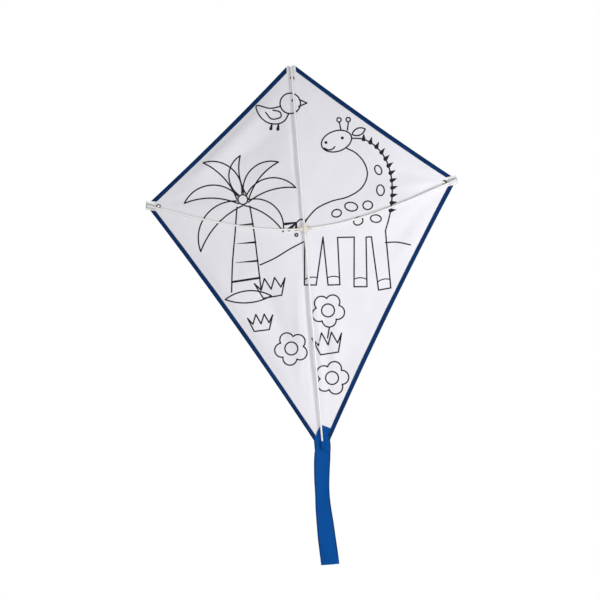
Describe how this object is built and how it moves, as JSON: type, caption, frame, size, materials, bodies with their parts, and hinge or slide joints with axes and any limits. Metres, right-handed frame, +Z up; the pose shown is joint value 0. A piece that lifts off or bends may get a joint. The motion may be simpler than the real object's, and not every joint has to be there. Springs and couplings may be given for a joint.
{
  "type": "diamond kite",
  "caption": "Flat diamond kite with a bound cloth sail, an upright spine, a bowed cross spar, riveted corner pockets and a ribbon tail; the wings fold forward and the tail swings.",
  "frame": {"origin": "the crossing of the spine and the cross spar, on their centre lines, where the flying line pulls", "axes": "+Z up along the spine to the top corner, +X to the right and +Y away from someone who faces the sticks, through the sail"},
  "size_m": [0.5844, 0.01, 0.9318],
  "materials": {
    "sail": "matte",
    "edge_binding": "matte",
    "tail_ribbon": "satin",
    "sticks": "satin",
    "stick_caps": "satin",
    "corner_tape": "satin",
    "connector": "satin",
    "rivets": "polished",
    "eyelet": "satin"
  },
  "bodies": {
    "frame": {"spine_rod": "sticks", "spine_top_cap": "stick_caps", "spine_bottom_cap": "stick_caps", "connector_hub": "connector", "sail_centre": "sail", "top_corner_pocket": "corner_tape", "top_rivet_cap": "rivets", "top_rivet_washer": "rivets", "tail_pocket": "tail_ribbon"},
    "left_wing": {"sail_left": "sail", "left_spar": "sticks", "left_spar_cap": "stick_caps", "left_connector_arm": "connector", "left_corner_pocket": "corner_tape", "left_rivet_cap": "rivets", "left_rivet_washer": "rivets", "upper_left_binding": "edge_binding", "lower_left_binding": "edge_binding", "tow_eyelet": "eyelet"},
    "right_wing": {"sail_right": "sail", "right_spar": "sticks", "right_spar_cap": "stick_caps", "right_connector_arm": "connector", "right_corner_pocket": "corner_tape", "right_rivet_cap": "rivets", "right_rivet_washer": "rivets", "upper_right_binding": "edge_binding", "lower_right_binding": "edge_binding"},
    "tail_upper": {"tail_ribbon_upper": "tail_ribbon"},
    "tail_lower": {"tail_ribbon_lower": "tail_ribbon", "tail_end_hem": "tail_ribbon"}
  },
  "joints": [
    {"name": "left_wing_fold", "type": "hinge", "parent": "frame", "child": "left_wing", "pos_m": [-0.0045, 0, 0], "axis": [0, 0, 1], "range_deg": [0, 85], "stiffness_Nm_per_rad": 0.05},
    {"name": "right_wing_fold", "type": "hinge", "parent": "frame", "child": "right_wing", "pos_m": [0.0045, 0, 0], "axis": [0, 0, -1], "range_deg": [0, 85], "stiffness_Nm_per_rad": 0.05},
    {"name": "tail_swing", "type": "hinge", "parent": "frame", "child": "tail_upper", "pos_m": [0, 0.0042, -0.414], "axis": [1, 0, 0], "range_deg": [-80, 80]},
    {"name": "tail_curl", "type": "hinge", "parent": "tail_upper", "child": "tail_lower", "pos_m": [-0.008, 0.0042, -0.52], "axis": [1, 0, 0], "range_deg": [-60, 60]}
  ]
}
